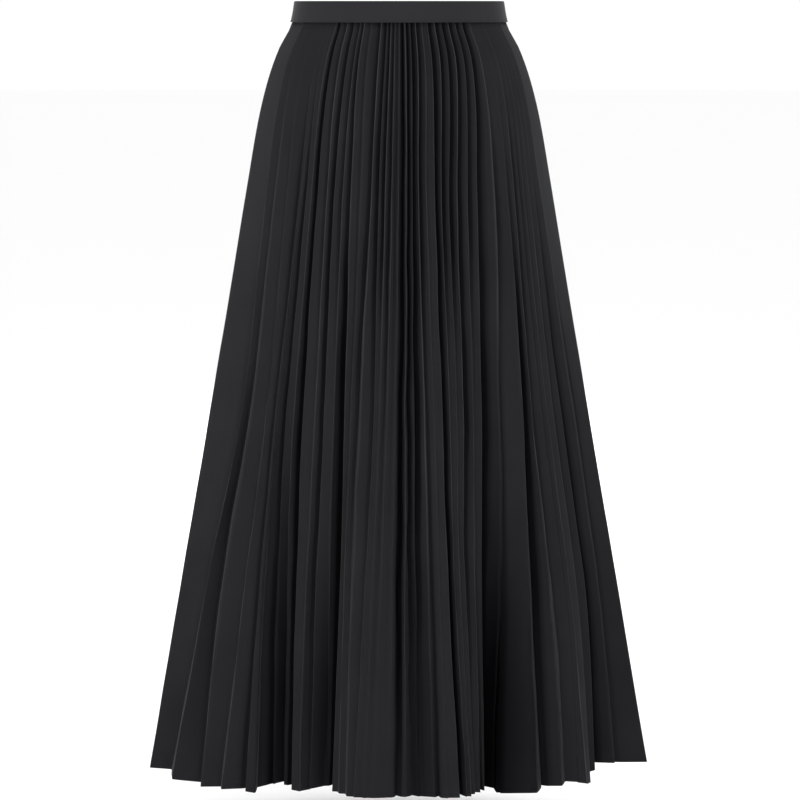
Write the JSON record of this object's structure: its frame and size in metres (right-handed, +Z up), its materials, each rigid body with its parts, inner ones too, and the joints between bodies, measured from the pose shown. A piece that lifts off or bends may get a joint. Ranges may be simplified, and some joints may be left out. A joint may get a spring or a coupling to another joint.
{
  "type": "long pleated skirt",
  "caption": "Ankle-length skirt with sunray pleats on a narrow plain waistband, closed by a concealed zip, in its worn form.",
  "frame": {"origin": "middle of the waistband, halfway up it, where the wearer's waist holds the skirt", "axes": "+Z up, the skirt's front faces -Y, +X is the wearer's left side"},
  "size_m": [0.5816, 0.4113, 0.884],
  "materials": {
    "crepe": "matte black woven crepe with a soft sheen",
    "zip_tape": "matte black woven tape",
    "zip_teeth": "black nylon coil",
    "zip_metal": "black lacquer"
  },
  "bodies": {
    "skirt": {"waistband": "crepe", "skirt_front": "crepe", "skirt_back_left": "crepe", "skirt_back_right": "crepe", "zip_tape_left": "zip_tape", "zip_tape_right": "zip_tape", "zip_teeth": "zip_teeth", "zip_slider": "zip_metal"},
    "pull": {"zip_pull": "zip_metal"}
  },
  "joints": [
    {"name": "pull_hinge", "type": "hinge", "parent": "skirt", "child": "pull", "pos_m": [0, 0.0888, 0.0065], "axis": [1, 0, 0], "range_deg": [0, 170]}
  ]
}
